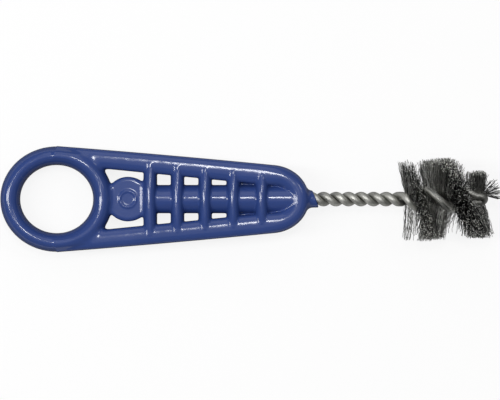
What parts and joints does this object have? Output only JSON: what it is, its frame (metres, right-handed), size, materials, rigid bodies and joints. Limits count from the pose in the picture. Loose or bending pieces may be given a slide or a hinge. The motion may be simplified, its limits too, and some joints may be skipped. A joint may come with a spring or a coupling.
{
  "type": "pipe fitting brush",
  "caption": "Wire pipe fitting brush with a moulded plastic ring handle, a twisted wire stem and a helical steel bristle head.",
  "frame": {"origin": "on the stem's axis, at the middle of the brush's length and the centre of its bounding box", "axes": "+X along the stem from the ring to the brush tip, +Y across the handle in its flat plane, +Z out of the handle's front face"},
  "size_m": [0.1462, 0.031, 0.024],
  "materials": {
    "handle_plastic": "glossy moulded plastic",
    "stem_steel": "drawn wire, satin",
    "bristle_steel": "dark crimped steel filament"
  },
  "bodies": {
    "root": {"handle": "handle_plastic", "stem_wire": "stem_steel", "bristle_bundle_01": "bristle_steel", "bristle_bundle_02": "bristle_steel", "bristle_bundle_03": "bristle_steel", "bristle_bundle_04": "bristle_steel", "bristle_bundle_05": "bristle_steel", "bristle_bundle_06": "bristle_steel", "bristle_bundle_07": "bristle_steel", "bristle_bundle_08": "bristle_steel", "bristle_bundle_09": "bristle_steel", "bristle_bundle_10": "bristle_steel", "bristle_bundle_11": "bristle_steel", "bristle_bundle_12": "bristle_steel"}
  },
  "joints": []
}
